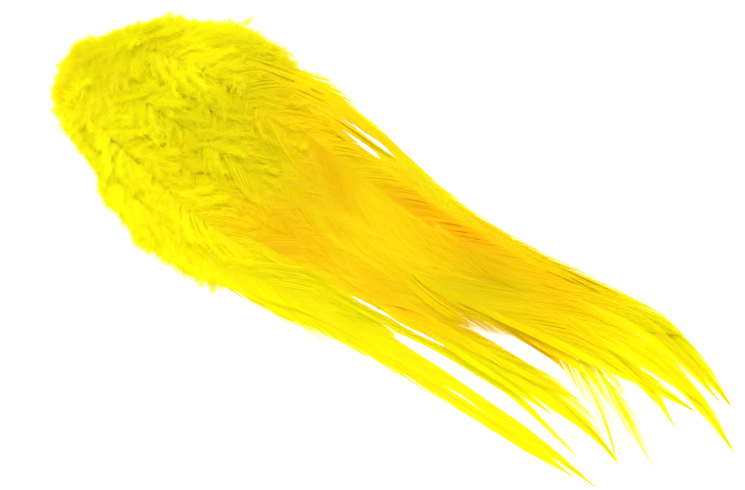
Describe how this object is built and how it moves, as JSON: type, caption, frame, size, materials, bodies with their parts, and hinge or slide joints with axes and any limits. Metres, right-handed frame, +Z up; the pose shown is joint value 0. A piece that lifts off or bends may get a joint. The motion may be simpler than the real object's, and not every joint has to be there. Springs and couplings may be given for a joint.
{
  "type": "rooster saddle hackle",
  "caption": "Strung bundle of dyed yellow rooster saddle hackle feathers lying flat, downy butts together and narrow tips fanned out.",
  "frame": {"origin": "middle of the bunch's length and width, at the surface that it lies on", "axes": "+X from the downy butts to the tips, +Y across the bunch towards the side with the longest tips, +Z up from the surface"},
  "size_m": [0.1832, 0.0596, 0.0173],
  "materials": {
    "dyed_hackle": "soft barbs and down dyed bright lemon yellow, half see-through at the edges",
    "inner_hackle": "the same dyed barbs where they lie deeper, golden yellow",
    "cotton_thread": "matt twisted cotton, undyed"
  },
  "bodies": {
    "root": {"hackle_01": "dyed_hackle", "hackle_02": "dyed_hackle", "hackle_03": "dyed_hackle", "hackle_04": "dyed_hackle", "hackle_05": "dyed_hackle", "hackle_06": "dyed_hackle", "hackle_07": "dyed_hackle", "hackle_08": "dyed_hackle", "hackle_09": "dyed_hackle", "hackle_10": "dyed_hackle", "hackle_11": "dyed_hackle", "hackle_12": "dyed_hackle", "hackle_13": "dyed_hackle", "hackle_14": "dyed_hackle", "hackle_15": "dyed_hackle", "hackle_16": "dyed_hackle", "hackle_17": "dyed_hackle", "hackle_18": "dyed_hackle", "hackle_19": "dyed_hackle", "hackle_20": "dyed_hackle", "hackle_21": "dyed_hackle", "inner_hackle_1_01": "inner_hackle", "inner_hackle_1_02": "inner_hackle", "inner_hackle_1_03": "inner_hackle", "inner_hackle_1_04": "inner_hackle", "inner_hackle_1_05": "inner_hackle", "inner_hackle_1_06": "inner_hackle", "inner_hackle_1_07": "inner_hackle", "inner_hackle_1_08": "inner_hackle", "inner_hackle_1_09": "inner_hackle", "inner_hackle_1_10": "inner_hackle", "inner_hackle_1_11": "inner_hackle", "inner_hackle_1_12": "inner_hackle", "inner_hackle_1_13": "inner_hackle", "inner_hackle_1_14": "inner_hackle", "inner_hackle_1_15": "inner_hackle", "inner_hackle_1_16": "inner_hackle", "inner_hackle_1_17": "inner_hackle", "inner_hackle_1_18": "inner_hackle", "inner_hackle_1_19": "inner_hackle", "inner_hackle_1_20": "inner_hackle", "inner_hackle_1_21": "inner_hackle", "inner_hackle_2_03": "inner_hackle", "inner_hackle_2_06": "inner_hackle", "inner_hackle_2_09": "inner_hackle", "inner_hackle_2_12": "inner_hackle", "inner_hackle_2_15": "inner_hackle", "inner_hackle_2_18": "inner_hackle", "inner_hackle_2_21": "inner_hackle", "stringing_thread": "cotton_thread"}
  },
  "joints": []
}
